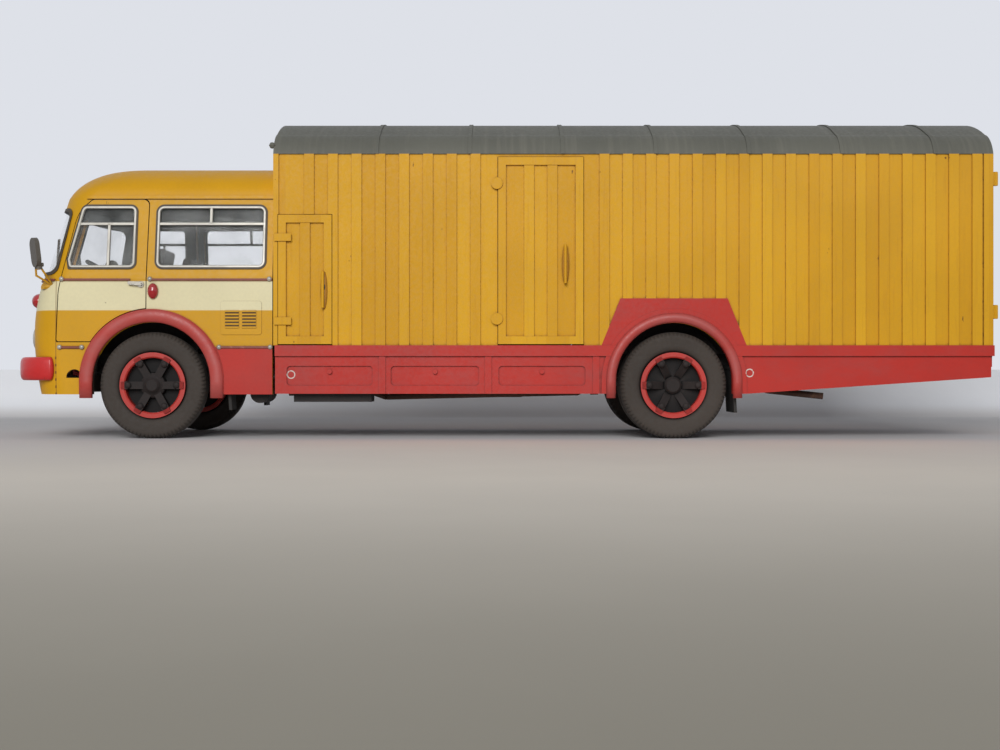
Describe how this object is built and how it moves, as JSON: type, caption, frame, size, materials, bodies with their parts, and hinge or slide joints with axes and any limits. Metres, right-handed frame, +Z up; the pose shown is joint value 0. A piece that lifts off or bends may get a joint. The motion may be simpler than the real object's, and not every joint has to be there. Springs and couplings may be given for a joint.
{
  "type": "scale model circus box truck",
  "caption": "Small scale model of a decorated circus box truck: forward control cab, long boarded box body, skirted sides and freely rolling wheels.",
  "frame": {"origin": "on the surface that the wheels stand on, under the middle of the bounding box", "axes": "+X forward, +Y to the left side, +Z up"},
  "size_m": [0.2422, 0.0686, 0.0808],
  "materials": {
    "yellow_paint": "satin paint",
    "board_paint": "satin paint with dark wash in the gaps",
    "red_paint": "satin paint",
    "roof_paint": "matt paint",
    "chassis_paint": "matt paint",
    "rubber_black": "matt",
    "tyre": "matt",
    "rim_red": "satin paint",
    "hub_black": "matt paint",
    "axle_steel": "plain",
    "chrome": "bright",
    "glazing": "clear",
    "lamp_lens": "clear",
    "lamp_red": "gloss",
    "strip_brown": "satin paint",
    "seat_vinyl": "matt",
    "interior_grey": "matt",
    "fittings_dark": "matt",
    "exhaust_brown": "matt"
  },
  "bodies": {
    "truck": {"chassis_frame": "chassis_paint", "front_axle": "axle_steel", "rear_axle": "axle_steel", "leaf_springs": "chassis_paint", "engine_gearbox": "chassis_paint", "propeller_shaft": "axle_steel", "exhaust_pipe": "exhaust_brown", "under_tanks": "chassis_paint", "mudflaps": "rubber_black", "cab_shell": "yellow_paint", "cab_door_left": "yellow_paint", "cab_door_right": "yellow_paint", "cab_floor": "interior_grey", "dashboard": "interior_grey", "seats": "seat_vinyl", "steering_wheel": "interior_grey", "windscreen_glass": "glazing", "windscreen_seal": "rubber_black", "cab_side_glass": "glazing", "cab_window_frames": "rubber_black", "wipers": "chrome", "front_bumper": "red_paint", "front_grille": "red_paint", "headlamps": "lamp_lens", "marker_lamps": "lamp_red", "front_arches": "red_paint", "cab_skirts": "red_paint", "vent_panels": "yellow_paint", "rub_strips": "strip_brown", "cab_door_handles": "chrome", "mirrors": "fittings_dark", "box_floor": "chassis_paint", "box_side_left": "board_paint", "box_side_right": "board_paint", "box_front_wall": "board_paint", "box_rear_frame": "board_paint", "box_roof": "roof_paint", "rear_doors": "board_paint", "side_doors": "board_paint", "locker_doors": "board_paint", "door_hinges": "fittings_dark", "box_handles": "fittings_dark", "sill_left": "red_paint", "sill_right": "red_paint", "rear_beam": "red_paint", "tail_lamps": "lamp_red"},
    "wheel_front_left": {"tyre_front_left": "tyre", "rim_front_left": "rim_red", "hub_front_left": "hub_black"},
    "wheel_front_right": {"tyre_front_right": "tyre", "rim_front_right": "rim_red", "hub_front_right": "hub_black"},
    "wheel_rear_left": {"tyre_rear_left": "tyre", "rim_rear_left": "rim_red", "hub_rear_left": "hub_black"},
    "wheel_rear_right": {"tyre_rear_right": "tyre", "rim_rear_right": "rim_red", "hub_rear_right": "hub_black"}
  },
  "joints": [
    {"name": "wheel_front_left_roll", "type": "hinge", "parent": "truck", "child": "wheel_front_left", "pos_m": [0.08505, 0.0255, 0.013], "axis": [0, 1, 0], "continuous": true},
    {"name": "wheel_front_right_roll", "type": "hinge", "parent": "truck", "child": "wheel_front_right", "pos_m": [0.08505, -0.0255, 0.013], "axis": [0, 1, 0], "continuous": true},
    {"name": "wheel_rear_left_roll", "type": "hinge", "parent": "truck", "child": "wheel_rear_left", "pos_m": [-0.04175, 0.0255, 0.013], "axis": [0, 1, 0], "continuous": true},
    {"name": "wheel_rear_right_roll", "type": "hinge", "parent": "truck", "child": "wheel_rear_right", "pos_m": [-0.04175, -0.0255, 0.013], "axis": [0, 1, 0], "continuous": true}
  ]
}
